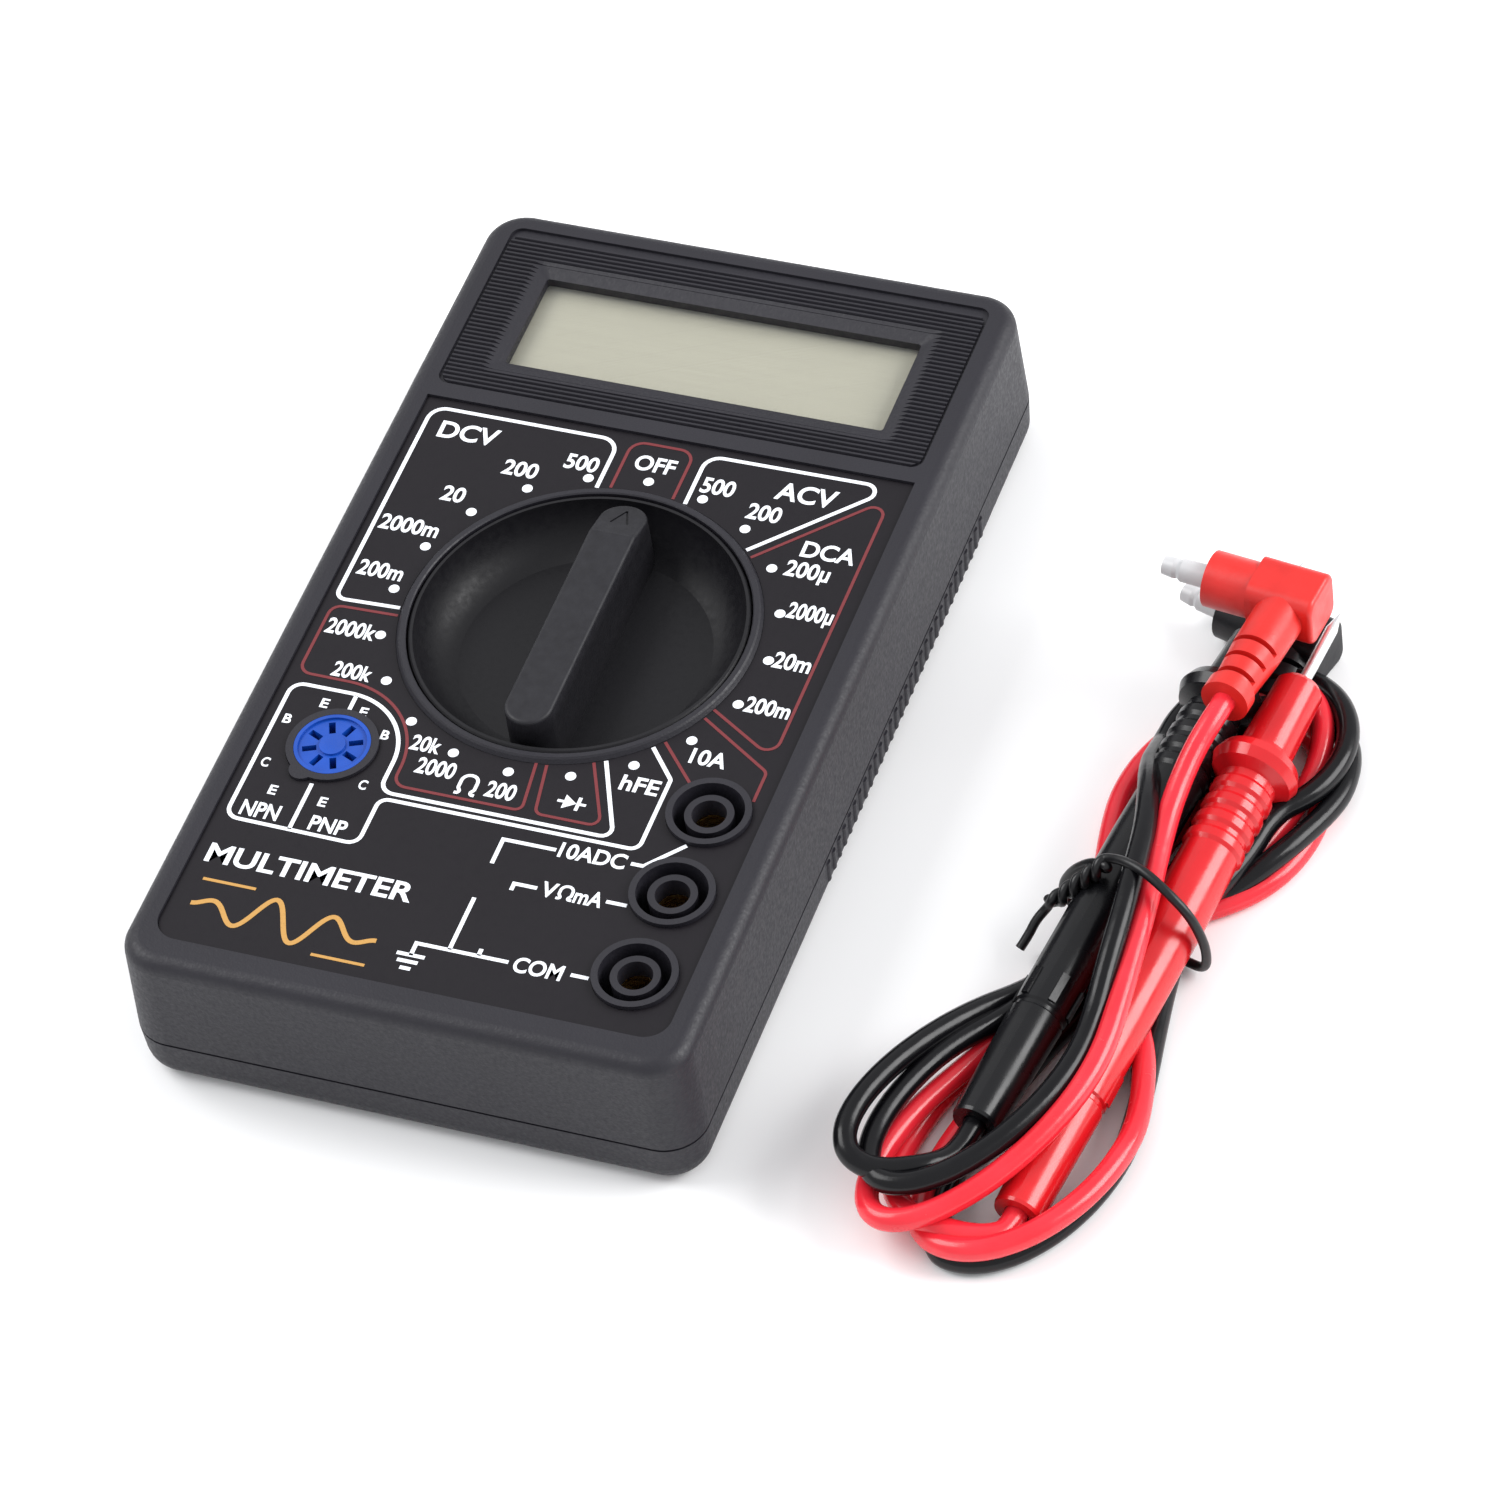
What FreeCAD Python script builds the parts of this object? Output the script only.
import FreeCAD, Part
import math
import os

# Pocket digital multimeter with a pair of test leads bundled beside it.
# Millimetres. +X right and +Y towards the display, seen from above; +Z up.
# The origin is under the middle of the case, on the surface it lies on.

V = FreeCAD.Vector

# Case shells
PARTING_HALF = (35.0, 62.7)     # half width and half length at the parting line
RIM_HALF = (34.5, 62.3)         # the same at the top face
BASE_HALF = (34.7, 62.4)        # the same at the bottom
CORNER_ROUND = 5.0
RIM_Z = 21.0
PARTING_Z = 6.8
PARTING_GAP = 0.3
RIM_ROUND = 1.9
BASE_ROUND = 3.3
WALL = 2.0
BASE_FLOOR_Z = 1.7
PANEL_UNDER_Z = 18.9
LIP_HEIGHT = 1.3
LIP_THICK = 0.8
LIP_GAP = 0.1

# Grip ribs on both long sides of the rear shell
RIB_RADIUS = 0.6
RIB_PROUD = 0.35
RIB_PITCH = 1.87
RIB_FIRST_Y = -17.0
RIB_COUNT = 31

# Label
LABEL_HALF_X = 31.25
LABEL_Y = (-57.97, 29.67)
LABEL_ROUND = 3.1
LABEL_Z = (20.3, 20.6)

# Display: ribbed panel, bevelled window, lens, glass
PANEL_HALF_X = 31.2
PANEL_Y = (32.0, 59.3)
PANEL_ROUND = 1.5
PANEL_GROOVE = 0.35
PANEL_FLOOR_Z = 20.6
PANEL_RIB_PITCH = 0.7
PANEL_RIB_TOP_Z = 20.95
BEVEL_HALF_X = 26.75
BEVEL_Y = (34.75, 54.9)
WINDOW_HALF_X = 24.37
WINDOW_Y = (37.7, 52.5)
WINDOW_EDGE_Z = 20.05
LENS_HALF_X = 26.4
LENS_Y = (35.9, 54.2)
LENS_THICK = 0.8
GLASS_HALF_X = 26.0
GLASS_Y = (36.2, 53.9)
GLASS_THICK = 2.4

# Rotary knob
KNOB_Y = -1.04
KNOB_RIM_R = 20.3
KNOB_RIM_INNER_R = 19.75
KNOB_TOP_Z = 21.1
KNOB_SKIRT_R = 21.6
KNOB_SKIRT_Z = (13.0, 18.7)
DISH_FLOOR_R = 15.2
DISH_FLOOR_Z = 15.2
DISH_UNDER_Z = 13.8
BAR_WIDTH = (6.2, 5.8)          # at the dish floor and at the top
BAR_TOP_Z = 23.8
BAR_TAIL = 18.66
BAR_POINT = 18.2
BAR_SLOPE_START = 12.0
BAR_TIP_Z = 22.1
PIVOT_R = 2.5
PIVOT_BORE_R = 2.55
PIVOT_BOTTOM_Z = 9.6
BALL_R = 1.0
BALL_CENTRE_R = 20.9
BALL_BORE_R = 1.05
BALL_Z = 14.5
SPRING_INNER_END_R = 17.7
POSITIONS = 20

# Knob opening in the front case
KNOB_HOLE_R = 20.55
KNOB_RING_R = 21.45
KNOB_RING_Z = 21.3
DETENT_R = (22.0, 23.6)
DETENT_BOTTOM_Z = 13.9
NOTCH_R = 1.1
NOTCH_CENTRE_R = 21.55

# Input jacks
JACK_X = 24.87
JACK_Y = {"10a": -24.95, "vma": -37.25, "com": -49.55}
JACK_RING_R = (4.2, 5.0)
JACK_RING_Z = 21.2
JACK_TUBE_R = 2.9
JACK_MOUTH_R = 2.05
JACK_FLOOR_Z = (13.0, 14.0)
SLEEVE_R = (2.05, 2.6)
SLEEVE_Z = (9.0, 18.1)

# Transistor test socket
SOCKET_X = -21.5
SOCKET_Y = -26.0
SOCKET_R = 4.55
SOCKET_TOP_Z = 21.0
SOCKET_SURROUND_R = 5.5
SOCKET_SURROUND_Z = 21.0
SOCKET_KEY_ANGLE = -115.0
SOCKET_SLOTS = 8
SLOT_R = (1.9, 3.6)
SOCKET_HUB_R = 1.55
SLOT_WIDTH = 0.8

# Circuit board and what holds it
BOARD_Z = (10.4, 12.0)
BOARD_HALF_X = 32.0
BOARD_TOP_Y = 54.0
BOARD_STEP_Y = -32.0
BOARD_STRIP_X = 21.0
BOARD_END_Y = -58.0
BOARD_POSTS = [(-28.5, 27.0), (28.5, 27.0), (-29.0, -28.8), (28.5, -55.2)]
CASE_POSTS = [(-29.5, 57.2), (29.5, 57.2)]
POST_R = 2.6
SCREW_HOLE_R = 1.02
SCREW_R = 1.0
SCREW_HEAD_R = 1.9

# Battery
BATTERY_X = (-31.8, 14.7)
BATTERY_Y = (-59.4, -33.0)
BATTERY_Z = (1.75, 18.15)
SNAP_X = (17.2, 19.5)

# Test leads
PLUG_HEAD = (8.4, 7.0)          # length along the pin, side of the square head
PLUG_COLLAR = (5.8, 3.45)       # length, radius
PLUG_PIN = (6.1, 1.45)          # length beyond the collar, radius
HANK_SPLIT_Z = 4.6
HANK_TOP_Z = 9.2
TIE_R = 0.6


def outline(corners, z=0.0):
    """Closed wire through corners given as (x, y, radius)."""
    stations = []
    for i, (x, y, radius) in enumerate(corners):
        here = V(x, y, z)
        before = V(corners[i - 1][0], corners[i - 1][1], z)
        after = V(corners[(i + 1) % len(corners)][0], corners[(i + 1) % len(corners)][1], z)
        if radius == 0:
            stations.append((here, None, here))
            continue
        back = (before - here).normalize()
        ahead = (after - here).normalize()
        half = back.getAngle(ahead) / 2
        setback = radius / math.tan(half)
        inward = (back + ahead).normalize()
        middle = here + inward * (radius / math.sin(half) - radius)
        stations.append((here + back * setback, middle, here + ahead * setback))
    edges = []
    for i, (start, middle, end) in enumerate(stations):
        if middle is not None:
            edges.append(Part.Arc(start, middle, end).toShape())
        following = stations[(i + 1) % len(stations)][0]
        if end.distanceToPoint(following) > 1e-6:
            edges.append(Part.LineSegment(end, following).toShape())
    return Part.Wire(edges)


def rectangle(xs, ys, radius, z=0.0):
    """Closed wire round a rectangle with equal corner radii."""
    return outline([(xs[0], ys[0], radius), (xs[1], ys[0], radius),
                    (xs[1], ys[1], radius), (xs[0], ys[1], radius)], z)


def centred(half, radius, z, shrink=0.0):
    """Rectangle about the origin, moved in on all sides by shrink."""
    x = half[0] - shrink
    y = half[1] - shrink
    return rectangle((-x, x), (-y, y), max(radius - shrink, 0.5), z)


def prism(wire, height):
    return Part.Face(wire).extrude(V(0, 0, height))


def block(xs, ys, zs, radius=0.0):
    """Upright block, with its vertical edges rounded if radius is given."""
    return prism(rectangle(xs, ys, radius, zs[0]), zs[1] - zs[0])


def disc(radius, zs, x=0.0, y=0.0):
    return Part.makeCylinder(radius, zs[1] - zs[0], V(x, y, zs[0]))


def ring(radii, zs, x=0.0, y=0.0):
    """Upright ring between an inner and an outer radius."""
    return disc(radii[1], zs, x, y).cut(disc(radii[0], zs, x, y))


def loft(lower, upper):
    return Part.makeLoft([lower, upper], True, True)


def turned(profile):
    """Solid of revolution about the Z axis from (radius, z) points."""
    points = [V(r, 0, z) for r, z in profile]
    wire = Part.makePolygon(points + [points[0]])
    return Part.Face(wire).revolve(V(0, 0, 0), V(0, 0, 1), 360)


def fused(shapes):
    shape = shapes[0]
    if len(shapes) > 1:
        shape = shape.multiFuse(shapes[1:])
    return shape.removeSplitter()


def polar(radius, degrees, z=0.0):
    angle = math.radians(degrees)
    return V(radius * math.cos(angle), radius * math.sin(angle), z)


def placed(shape, origin, z_axis, x_hint=V(1, 0, 0)):
    """Copy of a shape built about Z, turned so that Z points along z_axis."""
    moved = shape.copy()
    rotation = FreeCAD.Rotation(x_hint, V(0, 0, 0), z_axis, "ZXY")
    moved.Placement = FreeCAD.Placement(origin, rotation)
    return moved


def wire_rod(points, radius):
    """Round rod along straight runs joined by tangent arcs."""
    edges = []
    start = points[0]
    for i in range(1, len(points) - 1):
        corner = points[i]
        back = (points[i - 1] - corner)
        ahead = (points[i + 1] - corner)
        setback = 0.45 * min(back.Length, ahead.Length)
        back.normalize()
        ahead.normalize()
        half = back.getAngle(ahead) / 2
        bend = setback * math.tan(half)
        inward = (back + ahead).normalize()
        middle = corner + inward * (bend / math.sin(half) - bend)
        edges.append(Part.LineSegment(start, corner + back * setback).toShape())
        edges.append(Part.Arc(corner + back * setback, middle, corner + ahead * setback).toShape())
        start = corner + ahead * setback
    edges.append(Part.LineSegment(start, points[-1]).toShape())
    path = Part.Wire(edges)
    tangent = points[1] - points[0]
    section = Part.Wire(Part.makeCircle(radius, points[0], tangent))
    return path.makePipeShell([section], True, False)


def save(name, shape):
    shape.exportStep("parts/" + name + ".step")


def knob_surround():
    """Low ring that the front case raises round the knob."""
    centre = V(0, KNOB_Y, 0)
    profile = [(KNOB_HOLE_R, PANEL_UNDER_Z), (KNOB_RING_R + 0.3, PANEL_UNDER_Z),
               (KNOB_RING_R + 0.3, LABEL_Z[1]), (KNOB_RING_R, KNOB_RING_Z - 0.2),
               (KNOB_RING_R - 0.2, KNOB_RING_Z), (KNOB_HOLE_R + 0.15, KNOB_RING_Z),
               (KNOB_HOLE_R, KNOB_RING_Z - 0.15)]
    surround = turned(profile)
    surround.translate(centre)
    return surround


def detent_ring():
    """Notched ring under the panel that the knob's balls run past."""
    zs = (DETENT_BOTTOM_Z, PANEL_UNDER_Z + 0.1)
    shape = ring(DETENT_R, zs)
    for i in range(POSITIONS):
        at = polar(NOTCH_CENTRE_R, i * 360.0 / POSITIONS)
        shape = shape.cut(disc(NOTCH_R, zs, at.x, at.y))
    shape.translate(V(0, KNOB_Y, 0))
    return shape


def socket_surround(radius, key_radius, zs):
    """Round boss with a key tab, used for the surround and the label's hole."""
    tab = polar(SOCKET_SURROUND_R - 0.7, SOCKET_KEY_ANGLE)
    body = disc(radius, zs, SOCKET_X, SOCKET_Y)
    return body.fuse(disc(key_radius, zs, SOCKET_X + tab.x, SOCKET_Y + tab.y))


def display_ribs():
    """Fine ridges across the display panel, as one saw-toothed plate."""
    lower = PANEL_FLOOR_Z - 0.1
    first = PANEL_Y[0] + PANEL_GROOVE
    count = int((PANEL_Y[1] - PANEL_GROOVE - first) / PANEL_RIB_PITCH)
    points = [V(0, first, lower)]
    for i in range(count):
        y = first + i * PANEL_RIB_PITCH
        points.append(V(0, y, PANEL_FLOOR_Z))
        points.append(V(0, y + 0.22 * PANEL_RIB_PITCH, PANEL_RIB_TOP_Z))
        points.append(V(0, y + 0.6 * PANEL_RIB_PITCH, PANEL_RIB_TOP_Z))
    last = first + count * PANEL_RIB_PITCH
    points += [V(0, last, PANEL_FLOOR_Z), V(0, last, lower), points[0]]
    half = PANEL_HALF_X - PANEL_GROOVE
    ridges = Part.Face(Part.makePolygon(points)).extrude(V(2 * half, 0, 0))
    ridges.translate(V(-half, 0, 0))
    mask = block((-half, half), (first, last), (lower, RIM_Z), PANEL_ROUND)
    return ridges.common(mask)


def front_case():
    low_z = PARTING_Z + PARTING_GAP / 2
    shell = loft(centred(PARTING_HALF, CORNER_ROUND, low_z), centred(RIM_HALF, CORNER_ROUND, RIM_Z))
    rim = [e for e in shell.Edges if min(v.Point.z for v in e.Vertexes) > RIM_Z - 1e-3]
    shell = shell.makeFillet(RIM_ROUND, rim)
    shell = shell.cut(prism(centred(PARTING_HALF, CORNER_ROUND, 0, WALL), PANEL_UNDER_Z))
    rebate = WALL - LIP_THICK - 2 * LIP_GAP
    shell = shell.cut(prism(centred(PARTING_HALF, CORNER_ROUND, 0, rebate), low_z + LIP_HEIGHT + LIP_GAP))
    label_corners = [(-LABEL_HALF_X - 0.05, LABEL_Y[0] - 0.05, LABEL_ROUND),
                     (LABEL_HALF_X + 0.05, LABEL_Y[0] - 0.05, LABEL_ROUND),
                     (LABEL_HALF_X + 0.05, LABEL_Y[1] + 0.05, 0),
                     (-LABEL_HALF_X - 0.05, LABEL_Y[1] + 0.05, 0)]
    shell = shell.cut(prism(outline(label_corners, LABEL_Z[0]), 5))
    panel = block((-PANEL_HALF_X, PANEL_HALF_X), PANEL_Y, (PANEL_FLOOR_Z, RIM_Z + 1), PANEL_ROUND)
    shell = shell.cut(panel).fuse(display_ribs())
    bevel = loft(rectangle((-WINDOW_HALF_X, WINDOW_HALF_X), WINDOW_Y, 0.4, WINDOW_EDGE_Z),
                 rectangle((-BEVEL_HALF_X, BEVEL_HALF_X), BEVEL_Y, 1.2, PANEL_RIB_TOP_Z + 0.05))
    window = block((-WINDOW_HALF_X, WINDOW_HALF_X), WINDOW_Y, (PANEL_UNDER_Z - 1, WINDOW_EDGE_Z), 0.4)
    shell = shell.cut(bevel).cut(window)

    added = [knob_surround(), detent_ring()]
    removed = [disc(KNOB_HOLE_R, (PANEL_UNDER_Z - 1, RIM_Z + 2), 0, KNOB_Y)]
    for y in JACK_Y.values():
        added.append(disc(JACK_RING_R[1], (JACK_FLOOR_Z[0], JACK_RING_Z), JACK_X, y))
        removed.append(ring((JACK_TUBE_R, JACK_RING_R[0]), (JACK_FLOOR_Z[1], RIM_Z + 1), JACK_X, y))
        removed.append(disc(JACK_TUBE_R + 0.5, (LABEL_Z[1], RIM_Z + 1), JACK_X, y))
        removed.append(disc(JACK_MOUTH_R, (0, RIM_Z + 1), JACK_X, y))
        removed.append(disc(SLEEVE_R[1], (0, SLEEVE_Z[1]), JACK_X, y))
    added.append(socket_surround(SOCKET_SURROUND_R, 1.6, (PANEL_UNDER_Z, SOCKET_SURROUND_Z)))
    removed.append(disc(SOCKET_R + 0.05, (0, RIM_Z + 1), SOCKET_X, SOCKET_Y))
    for x, y in BOARD_POSTS:
        added.append(disc(POST_R, (BOARD_Z[1], PANEL_UNDER_Z + 0.1), x, y))
        removed.append(disc(SCREW_HOLE_R, (0, BOARD_Z[1] + 5), x, y))
    for x, y in CASE_POSTS:
        added.append(disc(POST_R, (low_z, PANEL_UNDER_Z + 0.1), x, y))
        removed.append(disc(SCREW_HOLE_R, (0, low_z + 8), x, y))
    shell = shell.multiFuse(added)
    for tool in removed:
        shell = shell.cut(tool)
    return shell


def grip_rib(side, y):
    """One vertical rib: a rod with a round lower end, sunk in the side wall."""
    lean = PARTING_HALF[0] - BASE_HALF[0]
    low = V(side * (BASE_HALF[0] + 0.15 - RIB_RADIUS + RIB_PROUD - 0.1), y, 3.1)
    top_z = PARTING_Z - 0.8
    axis = V(side * lean * (top_z - low.z) / PARTING_Z, 0, top_z - low.z)
    rod = Part.makeCylinder(RIB_RADIUS, axis.Length, low, axis)
    return rod.fuse(Part.makeSphere(RIB_RADIUS, low))


def rear_case():
    top_z = PARTING_Z - PARTING_GAP / 2
    shell = loft(centred(BASE_HALF, CORNER_ROUND, 0), centred(PARTING_HALF, CORNER_ROUND, top_z))
    base = [e for e in shell.Edges if max(v.Point.z for v in e.Vertexes) < 1e-3]
    shell = shell.makeFillet(BASE_ROUND, base)
    inner = prism(centred(BASE_HALF, CORNER_ROUND, BASE_FLOOR_Z, WALL), top_z)
    floor_edges = [e for e in inner.Edges if max(v.Point.z for v in e.Vertexes) < BASE_FLOOR_Z + 1e-3]
    inner = inner.makeFillet(0.9, floor_edges)
    lip_outer = WALL - LIP_THICK - LIP_GAP
    lip = prism(centred(PARTING_HALF, CORNER_ROUND, top_z - 0.5, lip_outer), PARTING_GAP + LIP_HEIGHT)
    ribs = []
    for i in range(RIB_COUNT):
        for side in (-1, 1):
            ribs.append(grip_rib(side, RIB_FIRST_Y + i * RIB_PITCH))
    shell = shell.fuse(lip).multiFuse(ribs).cut(inner)
    opening = prism(centred(PARTING_HALF, CORNER_ROUND, top_z - 0.5, WALL - LIP_GAP), 5)
    shell = shell.cut(opening)
    for x, y in CASE_POSTS:
        shell = shell.fuse(disc(POST_R, (BASE_FLOOR_Z - 0.1, top_z), x, y))
        shell = shell.cut(disc(SCREW_HEAD_R + 0.2, (0, 3.5), x, y))
        shell = shell.cut(disc(SCREW_R + 0.2, (0, 8), x, y))
    return shell


def label_plate():
    corners = [(-LABEL_HALF_X, LABEL_Y[0], LABEL_ROUND), (LABEL_HALF_X, LABEL_Y[0], LABEL_ROUND),
               (LABEL_HALF_X, LABEL_Y[1], 0), (-LABEL_HALF_X, LABEL_Y[1], 0)]
    plate = prism(outline(corners, LABEL_Z[0]), LABEL_Z[1] - LABEL_Z[0])
    through = (0, RIM_Z + 1)
    plate = plate.cut(disc(KNOB_RING_R + 0.35, through, 0, KNOB_Y))
    for y in JACK_Y.values():
        plate = plate.cut(disc(JACK_RING_R[1] + 0.05, through, JACK_X, y))
    return plate.cut(socket_surround(SOCKET_SURROUND_R + 0.05, 1.65, through))


def display_window():
    return block((-LENS_HALF_X, LENS_HALF_X), LENS_Y, (PANEL_UNDER_Z - LENS_THICK, PANEL_UNDER_Z), 0.5)


def lcd_panel():
    """Two glass plates; the lower one is longer, for its contact ledge."""
    top_z = PANEL_UNDER_Z - LENS_THICK
    middle_z = top_z - GLASS_THICK / 2
    lower = block((-GLASS_HALF_X, GLASS_HALF_X), GLASS_Y, (top_z - GLASS_THICK, middle_z))
    upper = block((-GLASS_HALF_X, GLASS_HALF_X), (GLASS_Y[0] + 2.4, GLASS_Y[1]), (middle_z, top_z))
    return lower.fuse(upper).removeSplitter()


def lcd_frame():
    """Frame on the board that carries the glass by its edges."""
    top_z = PANEL_UNDER_Z - LENS_THICK
    outer = block((-GLASS_HALF_X - 0.9, GLASS_HALF_X + 0.9), (GLASS_Y[0] - 0.8, BOARD_TOP_Y + 0.3),
                  (BOARD_Z[1], top_z), 0.6)
    pocket = block((-GLASS_HALF_X - 0.05, GLASS_HALF_X + 0.05), (GLASS_Y[0] - 0.05, GLASS_Y[1] + 0.05),
                   (top_z - GLASS_THICK, top_z + 1))
    hollow = block((-GLASS_HALF_X + 0.8, GLASS_HALF_X - 0.8), (GLASS_Y[0] + 0.1, GLASS_Y[1] - 1.0), (0, top_z))
    return outer.cut(pocket).cut(hollow)


def zebra_strip():
    """Rubber connector between the board and the glass's ledge."""
    return block((-GLASS_HALF_X + 1.0, GLASS_HALF_X - 1.0), (GLASS_Y[0] + 0.3, GLASS_Y[0] + 2.3),
                 (BOARD_Z[1], PANEL_UNDER_Z - LENS_THICK - GLASS_THICK))


def circuit_board():
    corners = [(-BOARD_HALF_X, BOARD_STEP_Y, 1), (BOARD_STRIP_X, BOARD_STEP_Y, 1),
               (BOARD_STRIP_X, BOARD_END_Y, 1), (BOARD_HALF_X, BOARD_END_Y, 1),
               (BOARD_HALF_X, BOARD_TOP_Y, 1), (-BOARD_HALF_X, BOARD_TOP_Y, 1)]
    board = prism(outline(corners, BOARD_Z[0]), BOARD_Z[1] - BOARD_Z[0])
    through = (0, 20)
    holes = [disc(PIVOT_BORE_R, through, 0, KNOB_Y)]
    holes += [disc(SLEEVE_R[1] + 0.05, through, JACK_X, y) for y in JACK_Y.values()]
    holes += [disc(SCREW_R + 0.1, through, x, y) for x, y in BOARD_POSTS]
    for i in range(SOCKET_SLOTS):
        at = polar(sum(SLOT_R) / 2, 22.5 + i * 360.0 / SOCKET_SLOTS)
        holes.append(disc(0.5, through, SOCKET_X + at.x, SOCKET_Y + at.y))
    for hole in holes:
        board = board.cut(hole)
    return board


def range_knob():
    """Dished knob with a raised grip bar, skirt, pivot pin and ball pockets."""
    wall = Part.Arc(V(KNOB_RIM_INNER_R, 0, KNOB_TOP_Z), V(18.42, 0, 17.42),
                    V(DISH_FLOOR_R, 0, DISH_FLOOR_Z)).toShape()
    points = [(DISH_FLOOR_R, DISH_FLOOR_Z), (0, DISH_FLOOR_Z), (0, DISH_UNDER_Z), (16.9, DISH_UNDER_Z),
              (16.9, KNOB_SKIRT_Z[0]), (KNOB_SKIRT_R, KNOB_SKIRT_Z[0]), (KNOB_SKIRT_R, KNOB_SKIRT_Z[1]),
              (KNOB_RIM_R, KNOB_SKIRT_Z[1]), (KNOB_RIM_R, KNOB_TOP_Z - 0.2),
              (KNOB_RIM_R - 0.2, KNOB_TOP_Z), (KNOB_RIM_INNER_R, KNOB_TOP_Z)]
    edges = [wall]
    for (r0, z0), (r1, z1) in zip(points, points[1:]):
        edges.append(Part.LineSegment(V(r0, 0, z0), V(r1, 0, z1)).toShape())
    knob = Part.Face(Part.Wire(edges)).revolve(V(0, 0, 0), V(0, 0, 1), 360)
    knob = knob.fuse(grip_bar())
    knob = knob.fuse(disc(PIVOT_R, (PIVOT_BOTTOM_Z, DISH_UNDER_Z + 0.2)))
    for side in (-1, 1):
        pocket = Part.makeCylinder(BALL_BORE_R, KNOB_SKIRT_R + 1 - SPRING_INNER_END_R,
                                   V(side * SPRING_INNER_END_R, 0, BALL_Z), V(side, 0, 0))
        knob = knob.cut(pocket)
    knob.translate(V(0, KNOB_Y, 0))
    return knob


def grip_bar():
    """Bar across the dish, sloping down to the pointer's tip at +Y."""
    def slot(width, z):
        half = width / 2
        tail = half - BAR_TAIL
        tip = BAR_POINT - half
        edges = [Part.LineSegment(V(half, tail, z), V(half, tip, z)).toShape(),
                 Part.Arc(V(half, tip, z), V(0, tip + half, z), V(-half, tip, z)).toShape(),
                 Part.LineSegment(V(-half, tip, z), V(-half, tail, z)).toShape(),
                 Part.Arc(V(-half, tail, z), V(0, tail - half, z), V(half, tail, z)).toShape()]
        return Part.Wire(edges)
    bar = loft(slot(BAR_WIDTH[0], DISH_FLOOR_Z - 0.3), slot(BAR_WIDTH[1], BAR_TOP_Z))
    wedge = Part.makePolygon([V(-5, BAR_SLOPE_START, BAR_TOP_Z), V(-5, BAR_POINT + 1, BAR_TOP_Z + 1),
                              V(-5, BAR_POINT + 1, BAR_TIP_Z - 0.27), V(-5, BAR_SLOPE_START, BAR_TOP_Z)])
    bar = bar.cut(Part.Face(wedge).extrude(V(10, 0, 0)))
    top = [e for e in bar.Edges if min(v.Point.z for v in e.Vertexes) > BAR_TIP_Z - 0.3
           and len(e.Vertexes) == 2 and not (abs(e.Vertexes[0].Y - BAR_SLOPE_START) < 0.01
                                             and abs(e.Vertexes[1].Y - BAR_SLOPE_START) < 0.01)]
    bar = bar.makeFillet(0.45, top)
    slope = math.degrees(math.atan2(BAR_TOP_Z - BAR_TIP_Z, BAR_POINT - BAR_SLOPE_START))
    for side in (-1, 1):
        groove = Part.makeBox(0.25, 3.0, 0.5, V(-0.125, -3.0, -0.2))
        groove.rotate(V(0, 0, 0), V(0, 0, 1), side * 21)
        groove.rotate(V(0, 0, 0), V(1, 0, 0), -slope)
        y = 16.9
        groove.translate(V(0, y, BAR_TOP_Z - (y - BAR_SLOPE_START) * math.tan(math.radians(slope))))
        bar = bar.cut(groove)
    return bar


def detent_ball(side):
    return Part.makeSphere(BALL_R, V(side * BALL_CENTRE_R, KNOB_Y, BALL_Z))


def detent_spring(side):
    """Three touching coils that push a ball outwards."""
    start = SPRING_INNER_END_R + 0.3
    reach = BALL_CENTRE_R - BALL_R - start
    coils = []
    for i in range(3):
        x = side * (start + 0.3 + (reach - 0.6) * i / 2.0)
        coils.append(Part.makeTorus(0.68, 0.28, V(x, KNOB_Y, BALL_Z), V(1, 0, 0)))
    rods = [Part.makeCylinder(0.2, reach - 0.4, V(side * (start + 0.2), KNOB_Y, BALL_Z + 0.68), V(side, 0, 0))]
    return fused(coils + rods)


def contact_wipers():
    """Sprung bridge under the knob; its finger tips stop just above the board."""
    plate = ring((7.0, 11.5), (DISH_UNDER_Z - 0.3, DISH_UNDER_Z))
    fingers = []
    for i in range(6):
        for r in (7.6, 9.3, 10.6):
            finger = Part.makePolygon([V(r, 0, DISH_UNDER_Z - 0.3), V(r, 2.4, BOARD_Z[1] + 0.15),
                                       V(r, 2.9, BOARD_Z[1] + 0.15), V(r, 0.6, DISH_UNDER_Z - 0.2),
                                       V(r, 0, DISH_UNDER_Z - 0.3)])
            shape = Part.Face(finger).extrude(V(0.7, 0, 0))
            shape.rotate(V(0, 0, 0), V(0, 0, 1), i * 60)
            fingers.append(shape)
    wipers = fused([plate] + fingers)
    wipers.translate(V(0, KNOB_Y, 0))
    return wipers


def input_jack(y):
    """Brass sleeve with a solder collar under the board."""
    sleeve = ring(SLEEVE_R, SLEEVE_Z, JACK_X, y)
    collar = ring((SLEEVE_R[1] - 0.1, 3.5), (BOARD_Z[0] - 0.6, BOARD_Z[0]), JACK_X, y)
    return sleeve.fuse(collar)


def socket_slots(zs, grow=0.0):
    slots = []
    for i in range(SOCKET_SLOTS):
        length = SLOT_R[1] - SLOT_R[0] + 2 * grow
        width = SLOT_WIDTH + 2 * grow
        slot = Part.makeBox(length, width, zs[1] - zs[0], V(SLOT_R[0] - grow, -width / 2, zs[0]))
        slot.rotate(V(0, 0, 0), V(0, 0, 1), 22.5 + i * 360.0 / SOCKET_SLOTS)
        slot.translate(V(SOCKET_X, SOCKET_Y, 0))
        slots.append(slot)
    return slots


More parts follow.
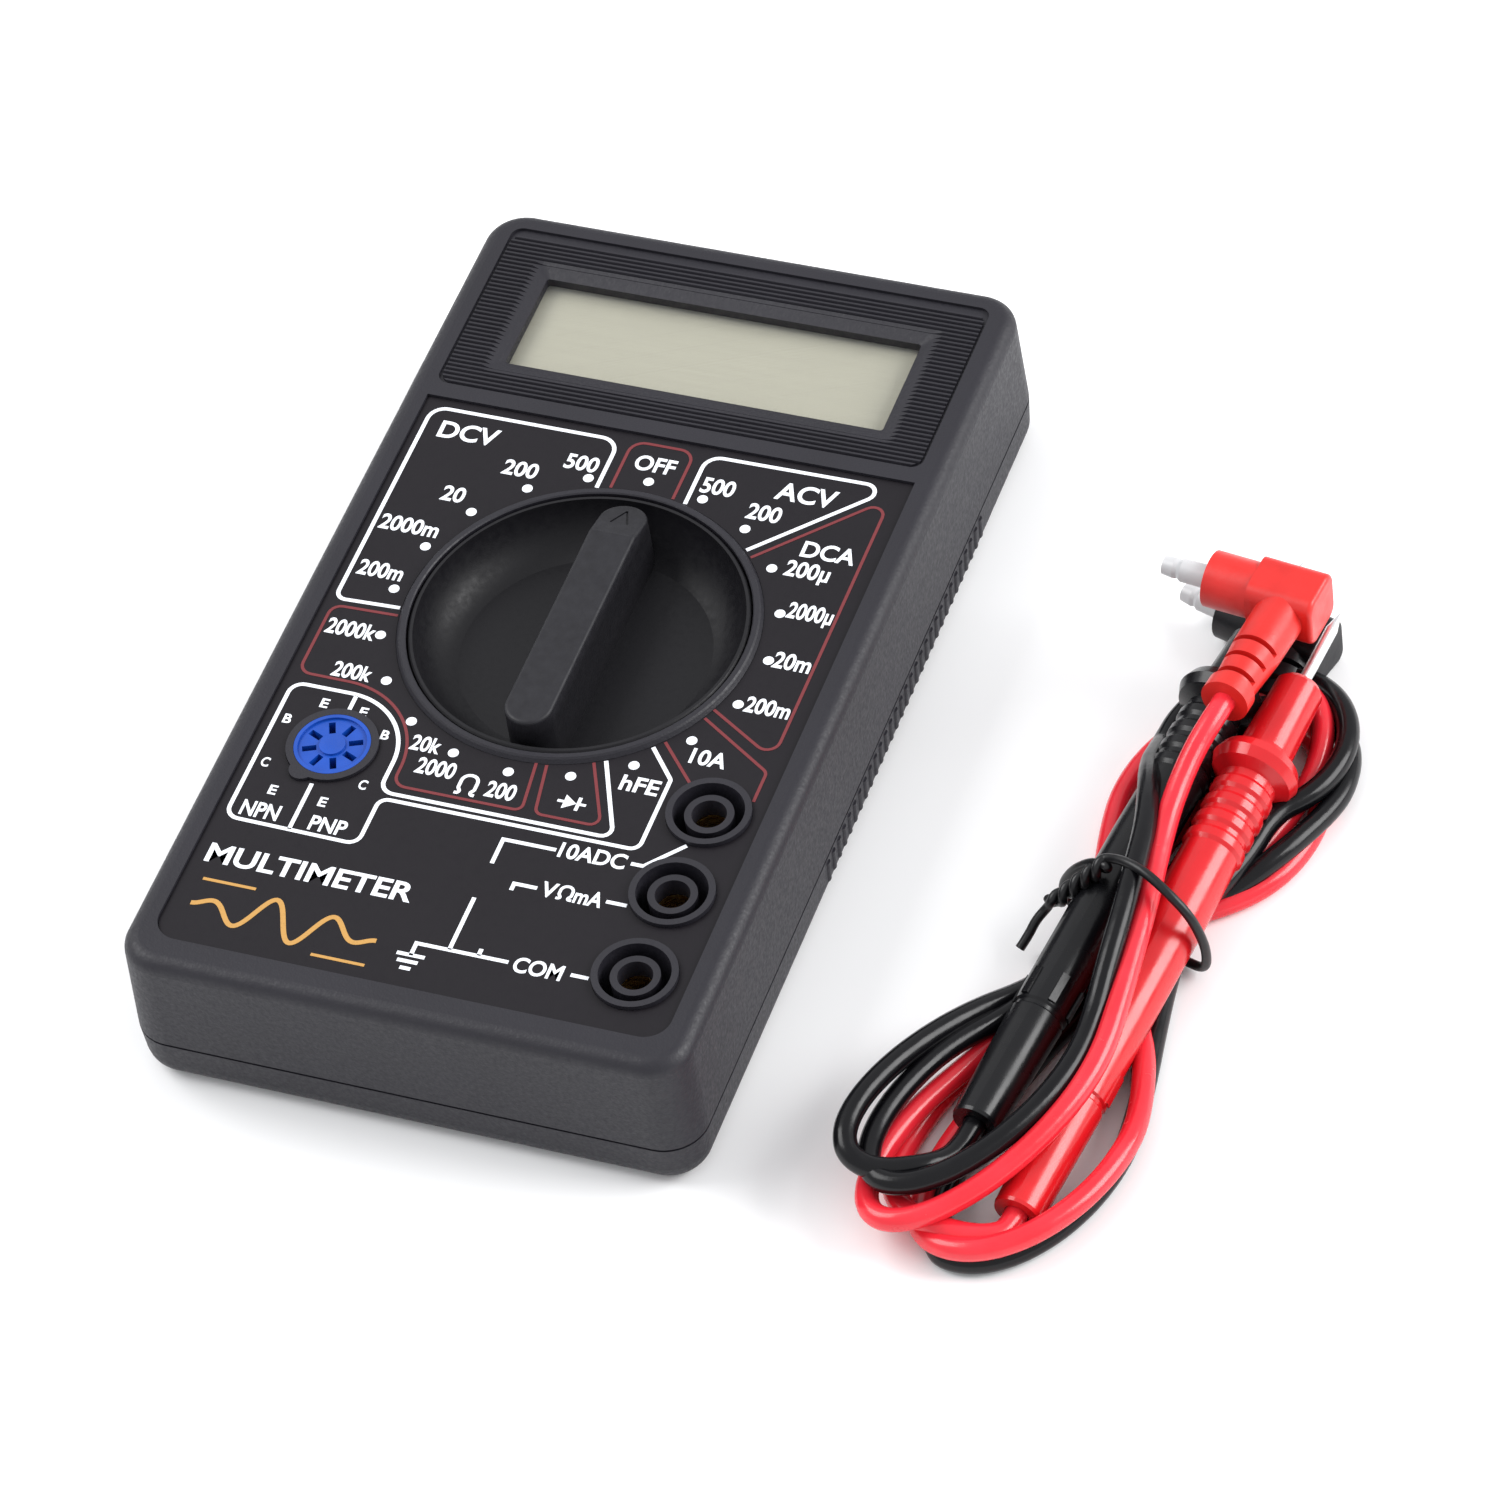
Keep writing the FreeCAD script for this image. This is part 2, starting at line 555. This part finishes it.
def transistor_socket():
    body = disc(SOCKET_R, (BOARD_Z[1], SOCKET_TOP_Z), SOCKET_X, SOCKET_Y)
    dished = ring((SOCKET_HUB_R, SOCKET_R - 0.45), (SOCKET_TOP_Z - 0.3, SOCKET_TOP_Z + 1), SOCKET_X, SOCKET_Y)
    body = body.cut(dished)
    for slot in socket_slots((BOARD_Z[1] - 1, SOCKET_TOP_Z + 1)):
        body = body.cut(slot)
    return body


def transistor_contacts():
    """Eight leaf contacts on a common strip below the board."""
    leaves = socket_slots((BOARD_Z[1] + 0.05, 17.5), -0.1)
    pins = []
    for i in range(SOCKET_SLOTS):
        at = polar(sum(SLOT_R) / 2, 22.5 + i * 360.0 / SOCKET_SLOTS)
        pins.append(disc(0.4, (BOARD_Z[0] - 0.8, BOARD_Z[1] + 0.2), SOCKET_X + at.x, SOCKET_Y + at.y))
    return Part.makeCompound([leaf.fuse(pin) for leaf, pin in zip(leaves, pins)])


def board_screw(x, y):
    shank = disc(SCREW_R, (BOARD_Z[0] - 0.5, BOARD_Z[1] + 4), x, y)
    return shank.fuse(screw_head(x, y, BOARD_Z[0] - 1.2, 1.2))


def case_screw(x, y):
    shank = disc(SCREW_R, (3.0, PARTING_Z + 6), x, y)
    return shank.fuse(screw_head(x, y, 2.1, 1.4))


def screw_head(x, y, z, height):
    """Pan head with a cross recess, seen from below."""
    head = disc(SCREW_HEAD_R, (z, z + height), x, y)
    for turn in (0, 90):
        recess = Part.makeBox(2.2, 0.5, 0.7, V(-1.1, -0.25, z))
        recess.rotate(V(0, 0, 0), V(0, 0, 1), turn)
        recess.translate(V(x, y, 0))
        head = head.cut(recess)
    return head


def chip_blob():
    """Epoxy dome over the measuring chip, under the board."""
    dome = Part.makeSphere(14.0, V(0, 44.0, BOARD_Z[0] + 12.6))
    return dome.common(disc(8.0, (BOARD_Z[0] - 2, BOARD_Z[0]), 0, 44.0))


def axial_part(body_r, body_length, x, y, across):
    """Body with two bent leads that end in the board's underside."""
    z = BOARD_Z[0] - body_r - 0.3
    body = Part.makeCylinder(body_r, body_length, V(-body_length / 2, 0, z), V(1, 0, 0))
    reach = body_length / 2 + 1.8
    shapes = [body]
    for side in (-1, 1):
        points = [V(side * (body_length / 2 - 0.3), 0, z), V(side * reach, 0, z),
                  V(side * reach, 0, BOARD_Z[0])]
        shapes.append(wire_rod(points, 0.3))
    part = fused(shapes)
    if across:
        part.rotate(V(0, 0, 0), V(0, 0, 1), 90)
    part.translate(V(x, y, 0))
    return part


def film_capacitor(x, y):
    return block((x - 5.0, x + 5.0), (y - 2.2, y + 2.2), (BOARD_Z[0] - 7.0, BOARD_Z[0]), 0.6)


def trimmer():
    """Calibration potentiometer with a screw slot in its rotor."""
    base = block((-24.0, -18.0), (16.0, 22.0), (BOARD_Z[0] - 2.5, BOARD_Z[0]), 0.4)
    rotor = disc(2.1, (BOARD_Z[0] - 3.1, BOARD_Z[0] - 2.4), -21.0, 19.0)
    slot = block((-23.0, -19.0), (18.7, 19.3), (BOARD_Z[0] - 3.2, BOARD_Z[0] - 2.6))
    return base.fuse(rotor).cut(slot)


def shunt_wire():
    """Thick bridge of resistance wire for the 10 A range."""
    x = 30.0
    points = [V(x, -44.0, BOARD_Z[0]), V(x, -44.0, 5.5), V(x, -31.0, 5.5), V(x, -31.0, BOARD_Z[0])]
    return wire_rod(points, 0.8)


def fuse_parts():
    """Glass fuse, 5 x 20 mm, with its two end caps."""
    z = BOARD_Z[0] - 3.6
    y = -27.0
    glass = Part.makeCylinder(2.3, 20.0, V(-10.0, y, z), V(1, 0, 0))
    caps = [Part.makeCylinder(2.6, 5.0, V(x, y, z), V(1, 0, 0)) for x in (-10.0, 5.0)]
    return fused([glass] + caps)


def fuse_clips():
    """Two U-shaped clips that hang from the board and hold the caps."""
    z = BOARD_Z[0] - 3.6
    clips = []
    for x in (-9.2, 6.2):
        outer = block((x, x + 3.0), (-30.1, -23.9), (z - 1.6, BOARD_Z[0]))
        bore = Part.makeCylinder(2.62, 3.0, V(x, -27.0, z), V(1, 0, 0))
        throat = block((x, x + 3.0), (-28.9, -25.1), (z - 3, z))
        roof = block((x, x + 3.0), (-29.6, -24.4), (z, BOARD_Z[0] - 0.5))
        clips.append(outer.cut(bore).cut(throat).cut(roof))
    return Part.makeCompound(clips)


def battery_9v():
    return block(BATTERY_X, BATTERY_Y, BATTERY_Z, 2.0)


def battery_terminals():
    """Round and hexagonal snap studs on the battery's end."""
    y = sum(BATTERY_Y) / 2
    z = sum(BATTERY_Z) / 2
    start = BATTERY_X[1]
    stud = Part.makeCylinder(2.9, 2.4, V(start, y - 6.35, z), V(1, 0, 0))
    crown = Part.makeCylinder(4.1, 2.4, V(start, y + 6.35, z), V(1, 0, 0))
    crown = crown.cut(Part.makeCylinder(3.1, 1.9, V(start + 0.6, y + 6.35, z), V(1, 0, 0)))
    return Part.makeCompound([stud, crown])


def battery_snap():
    y = sum(BATTERY_Y) / 2
    z = sum(BATTERY_Z) / 2
    return block(SNAP_X, (y - 12.5, y + 12.5), (z - 6.0, z + 6.0), 0.8)


def battery_wire(x, z):
    """Wire from the snap to a pad under the board."""
    start = sum(BATTERY_Y) / 2 + 12.5
    points = [V(x, start, z), V(x, start + 7.0, z), V(x, start + 9.5 + z, BOARD_Z[0] - 2.5),
              V(x, start + 9.5 + z, BOARD_Z[0])]
    return wire_rod(points, 0.5)


def foam_pad():
    return block((-26.0, 10.0), (BATTERY_Y[0] + 4, BATTERY_Y[1] - 4), (BATTERY_Z[1], PANEL_UNDER_Z), 1.0)


# Where each lead's pieces lie: head centre, heading of the pin, heading and
# reach of the strain relief.
PLUGS = {
    "red": {"centre": V(77.5, 28.7, 13.5), "pin": 173.0, "relief": 262.6, "reach": 18.4, "dip": -4.6},
    "black": {"centre": V(77.3, 31.2, 3.55), "pin": 164.0, "relief": 268.0, "reach": 13.4, "dip": 3.0},
}
# Probes: two points on each axis, the first at the cord end, and how far from
# it the barrel and the needle end.
PROBES = {
    "red": {"axis": (V(71.4, -58.4, 3.4), V(81.2, 20.3, 8.7)), "barrel": 79.3, "needle": 90.8},
    "black": {"axis": (V(63.5, -48.9, 5.3), V(76.0, 41.4, 8.4)), "barrel": 76.0, "needle": 89.2},
}


def heading(degrees, dip=0.0):
    """Unit vector at a heading from +X, tipped down by dip degrees."""
    flat = math.cos(math.radians(dip))
    direction = polar(flat, degrees)
    direction.z = -math.sin(math.radians(dip))
    return direction


def plug_body(lead):
    """Right-angled plug: square head, round collar, slotted strain relief."""
    spec = PLUGS[lead]
    side = PLUG_HEAD[1] / 2
    half = PLUG_HEAD[0] / 2
    head = block((-side, side), (-side, side), (-half, half), 1.7)
    ends = [e for e in head.Edges if abs(e.CenterOfMass.z + half) < 1e-3]
    head = head.makeFillet(0.6, ends)
    collar = Part.makeCylinder(PLUG_COLLAR[1], PLUG_COLLAR[0] + 1, V(0, 0, half - 1))
    bore = Part.makeCylinder(2.4, PLUG_COLLAR[0] - 1.0, V(0, 0, half + 1.0))
    pin_axis = heading(spec["pin"])
    body = placed(fused([head, collar]).cut(bore), spec["centre"], pin_axis, V(0, 0, 1))
    reach = spec["reach"]
    relief = turned([(0, 1.5), (3.1, 1.5), (3.0, reach - 9.0), (2.5, reach - 2.2),
                     (2.95, reach - 2.0), (2.95, reach), (0, reach)])
    for i in range(3):
        z = reach - 3.0 - 2.6 * i
        slot = block((0.9, 4), (-4, 4), (z - 0.35, z + 0.35))
        relief = relief.cut(slot)
    relief = placed(relief, spec["centre"], heading(spec["relief"], spec["dip"]), V(0, 0, 1))
    return body.fuse(relief)


def plug_pin(lead):
    """Metal pin with a translucent tip guard, inside the collar."""
    spec = PLUGS[lead]
    start = PLUG_HEAD[0] / 2 + 1.0
    end = PLUG_HEAD[0] / 2 + PLUG_COLLAR[0] + PLUG_PIN[0]
    radius = PLUG_PIN[1]
    pin = turned([(0, start), (1.95, start), (1.95, end - PLUG_PIN[0] - 0.3), (radius, end - 5.6),
                  (radius, end - 2.4), (1.15, end - 1.9), (1.3, end - 1.4), (1.15, end), (0, end)])
    return placed(pin, spec["centre"], heading(spec["pin"]), V(0, 0, 1))


def probe_axis(lead):
    start, end = PROBES[lead]["axis"]
    return (end - start).normalize()


def probe_handle(lead):
    """Tapered handle: cord end, finger ribs, guard disc and barrel."""
    end = PROBES[lead]["barrel"]
    hollow = [(0, 5.0), (1.5, 5.0), (1.5, 0), (2.75, 0)]
    taper = [(2.9, 0.4), (3.3, 15.7), (3.05, 16.0), (3.05, 16.5), (3.3, 16.8), (3.55, 44.0), (3.45, 52.0)]
    ribs = []
    for i in range(4):
        z = 53.0 + 2.6 * i
        ribs += [(3.45, z), (3.75, z + 0.5), (3.75, z + 1.5), (3.45, z + 2.0)]
    guard = [(3.45, 63.8), (4.9, 64.6), (5.4, 65.9), (4.9, 67.2), (3.4, 68.0)]
    barrel = [(3.3, 68.6), (2.95, end - 0.6), (2.5, end), (0, end)]
    handle = turned(hollow + taper + ribs + guard + barrel)
    bore = Part.makeCylinder(0.78, 9.0, V(0, 0, 72.0))
    handle = handle.cut(bore)
    for i in range(6):
        flute = Part.makeBox(0.55, 0.9, 4.0, V(3.0, -0.45, 17.0))
        flute.rotate(V(0, 0, 0), V(0, 0, 1), i * 60 + 30)
        handle = handle.fuse(flute)
    return placed(handle, PROBES[lead]["axis"][0], probe_axis(lead), V(0, 0, 1))


def probe_tip(lead):
    end = PROBES[lead]["needle"]
    needle = turned([(0, 72.5), (0.75, 72.5), (0.75, end - 2.5), (0.15, end), (0, end)])
    return placed(needle, PROBES[lead]["axis"][0], probe_axis(lead), V(0, 0, 1))


def lobe(lower, upper, zs):
    """Upright solid round two discs, each given as (x, y, radius)."""
    start = V(lower[0], lower[1], zs[0])
    end = V(upper[0], upper[1], zs[0])
    along = end - start
    swing = math.acos((lower[2] - upper[2]) / along.Length)
    facing = math.atan2(along.y, along.x)
    touch = []
    for side in (1, -1):
        angle = math.degrees(facing + side * swing)
        touch.append((start + polar(lower[2], angle), end + polar(upper[2], angle)))
    back = start - V(along).normalize() * lower[2]
    front = end + V(along).normalize() * upper[2]
    edges = [Part.LineSegment(touch[0][0], touch[0][1]).toShape(),
             Part.Arc(touch[0][1], front, touch[1][1]).toShape(),
             Part.LineSegment(touch[1][1], touch[1][0]).toShape(),
             Part.Arc(touch[1][0], back, touch[0][0]).toShape()]
    return prism(Part.Wire(edges), zs[1] - zs[0])


def lead_hank(zs):
    """Outer shape of one cord folded into a figure of eight round the tie."""
    waist = (71.3, -10.0, 8.75)
    bottom = lobe((64.8, -49.5, 16.0), waist, zs)
    top = lobe((76.8, 12.4, 13.4), waist, zs)
    return bottom.fuse(top).removeSplitter()


def twist_tie():
    """Wire tie round the waist of the bundle, with a twist and one tail."""
    left = V(62.6, -7.0, 0)
    right = V(80.8, -14.6, 0)
    low = TIE_R + 0.5
    high = HANK_TOP_Z + TIE_R + 2.6
    band = [V(left.x, left.y, 5.4), V(left.x, left.y, low), V(right.x, right.y, low),
            V(right.x, right.y, high), V(left.x, left.y, high), V(left.x, left.y, 6.6)]
    loop = wire_rod(band, TIE_R)
    coils = []
    for i in range(3):
        centre = V(left.x + 0.5 * i, left.y + 0.9 - 1.1 * i, 6.0 + 0.5 * i)
        coils.append(Part.makeTorus(1.1, TIE_R, centre, V(0.3, 1, 0.2)))
    tail = wire_rod([V(left.x, left.y - 0.6, 6.0), V(left.x - 2.0, left.y - 4.6, 5.0),
                     V(60.2, -18.4, 2.4)], TIE_R)
    return fused([loop] + coils + [tail])


def meter_shapes():
    shapes = {
        "front_case": front_case(),
        "rear_case": rear_case(),
        "label_plate": label_plate(),
        "display_window": display_window(),
        "lcd_panel": lcd_panel(),
        "lcd_frame": lcd_frame(),
        "zebra_strip": zebra_strip(),
        "circuit_board": circuit_board(),
        "transistor_socket": transistor_socket(),
        "transistor_contacts": transistor_contacts(),
        "chip_blob": chip_blob(),
        "trimmer": trimmer(),
        "shunt_wire": shunt_wire(),
        "fuse": fuse_parts(),
        "fuse_clips": fuse_clips(),
        "battery_9v": battery_9v(),
        "battery_terminals": battery_terminals(),
        "battery_snap": battery_snap(),
        "battery_wire_red": battery_wire(SNAP_X[0] + 0.55, 6.0),
        "battery_wire_black": battery_wire(SNAP_X[1] - 0.55, 8.0),
        "foam_pad": foam_pad(),
    }
    for name, y in JACK_Y.items():
        shapes["input_jack_" + name] = input_jack(y)
    for i, (x, y) in enumerate(BOARD_POSTS):
        shapes["board_screw_%d" % (i + 1)] = board_screw(x, y)
    for i, (x, y) in enumerate(CASE_POSTS):
        shapes["case_screw_%d" % (i + 1)] = case_screw(x, y)
    for i in range(4):
        shapes["resistor_%d" % (i + 1)] = axial_part(1.2, 6.5, -12.0 + 8.0 * i, 28.0, True)
    for i in range(2):
        shapes["film_capacitor_%d" % (i + 1)] = film_capacitor(-16.0 + 32.0 * i, 6.0)
    return shapes


def knob_shapes():
    shapes = {"range_knob": range_knob(), "contact_wipers": contact_wipers()}
    for name, side in (("left", -1), ("right", 1)):
        shapes["detent_ball_" + name] = detent_ball(side)
        shapes["detent_spring_" + name] = detent_spring(side)
    return shapes


def lead_shapes():
    shapes = {"twist_tie": twist_tie()}
    layers = {"black": (0.0, HANK_SPLIT_Z), "red": (HANK_SPLIT_Z, HANK_TOP_Z)}
    for lead in ("red", "black"):
        shapes[lead + "_plug_body"] = plug_body(lead)
        shapes[lead + "_plug_pin"] = plug_pin(lead)
        shapes[lead + "_probe_handle"] = probe_handle(lead)
        shapes[lead + "_probe_tip"] = probe_tip(lead)
        shapes[lead + "_lead_hank"] = lead_hank(layers[lead])
    return shapes


os.makedirs("parts", exist_ok=True)
for group in (meter_shapes(), knob_shapes(), lead_shapes()):
    for node, shape in group.items():
        save(node, shape)
